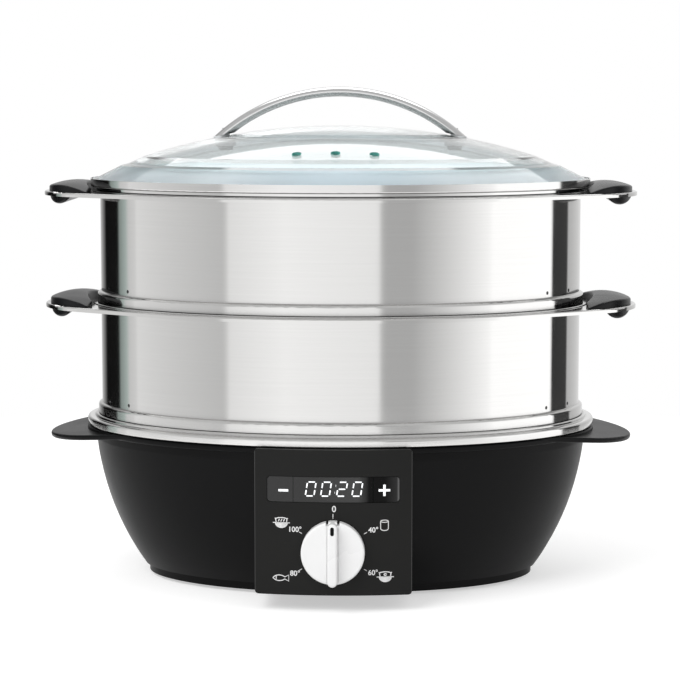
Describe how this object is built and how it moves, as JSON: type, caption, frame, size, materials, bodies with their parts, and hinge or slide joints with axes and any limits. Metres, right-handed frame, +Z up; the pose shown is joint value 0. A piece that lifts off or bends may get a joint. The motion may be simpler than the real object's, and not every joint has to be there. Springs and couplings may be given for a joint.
{
  "type": "food steamer",
  "caption": "Electric food steamer with a black base, a display and a temperature knob, stacked oval steel baskets and a domed glass lid.",
  "frame": {"origin": "On the worktop, under the centre of the steamer's outline from the knob's front to the back of the flanges.", "axes": "+X to the user's right along the long axis of the ovals, +Y away from the user, from the control panel to the back, +Z up."},
  "size_m": [0.44, 0.291, 0.3648],
  "materials": {
    "black_plastic": "satin",
    "cover_plastic": "matte",
    "steel_sheet": "polished",
    "fastener_steel": "plain",
    "foot_rubber": "matte",
    "seal_silicone": "matte",
    "element_steel": "satin",
    "board_green": "satin",
    "component_black": "matte",
    "transformer_steel": "matte",
    "lens_plastic": "gloss",
    "key_plastic": "gloss",
    "display_glass": "gloss",
    "white_plastic": "gloss",
    "pointer_black": "gloss",
    "grip_plastic": "satin",
    "lid_glass": "gloss",
    "handle_steel": "satin"
  },
  "bodies": {
    "base": {"base_housing": "black_plastic", "bottom_cover": "cover_plastic", "cover_screws": "fastener_steel", "rubber_feet": "foot_rubber", "water_tank": "steel_sheet", "tank_gasket": "seal_silicone", "heating_element": "element_steel", "element_grommets": "seal_silicone", "temperature_probe": "element_steel", "probe_seal": "seal_silicone", "probe_nut": "fastener_steel", "safety_cutout": "component_black", "power_board": "board_green", "power_board_screws": "fastener_steel", "heater_relay": "component_black", "transformer": "transformer_steel", "cord_gland": "foot_rubber", "control_panel": "black_plastic", "display_lens": "lens_plastic", "control_board": "board_green", "board_screws": "fastener_steel", "display_module": "display_glass", "key_switches": "component_black", "rotary_selector": "component_black"},
    "minus_button": {"minus_key": "key_plastic"},
    "plus_button": {"plus_key": "key_plastic"},
    "selector_knob": {"knob": "white_plastic", "knob_pointer": "pointer_black", "selector_shaft": "fastener_steel"},
    "tray": {"drip_tray": "steel_sheet"},
    "lower_basket": {"lower_basket_wall": "steel_sheet", "lower_basket_floor": "steel_sheet", "lower_right_grip_top": "grip_plastic", "lower_left_grip_top": "grip_plastic", "lower_right_grip_base": "grip_plastic", "lower_left_grip_base": "grip_plastic", "lower_grip_screws": "fastener_steel"},
    "upper_basket": {"upper_basket_wall": "steel_sheet", "upper_basket_floor": "steel_sheet", "upper_right_grip_top": "grip_plastic", "upper_left_grip_top": "grip_plastic", "upper_right_grip_base": "grip_plastic", "upper_left_grip_base": "grip_plastic", "upper_grip_screws": "fastener_steel"},
    "lid": {"lid_rim": "steel_sheet", "lid_glass": "lid_glass", "lid_handle": "handle_steel", "handle_pads": "seal_silicone", "handle_washers": "seal_silicone", "handle_screws": "fastener_steel"}
  },
  "joints": [
    {"name": "lift_tray", "type": "slide", "parent": "base", "child": "tray", "axis": [0, 0, 1], "range_m": [0, 0.15]},
    {"name": "lift_lower_basket", "type": "slide", "parent": "tray", "child": "lower_basket", "axis": [0, 0, 1], "range_m": [0, 0.15]},
    {"name": "lift_upper_basket", "type": "slide", "parent": "lower_basket", "child": "upper_basket", "axis": [0, 0, 1], "range_m": [0, 0.15]},
    {"name": "lift_lid", "type": "slide", "parent": "upper_basket", "child": "lid", "axis": [0, 0, 1], "range_m": [0, 0.12]},
    {"name": "turn_knob", "type": "hinge", "parent": "base", "child": "selector_knob", "pos_m": [0, -0.12893, 0.0432], "axis": [0, 1, 0], "range_deg": [0, 300]},
    {"name": "press_minus", "type": "slide", "parent": "base", "child": "minus_button", "axis": [0, 1, 0], "range_m": [0, 0.001], "stiffness_N_per_m": 400},
    {"name": "press_plus", "type": "slide", "parent": "base", "child": "plus_button", "axis": [0, 1, 0], "range_m": [0, 0.001], "stiffness_N_per_m": 400}
  ]
}
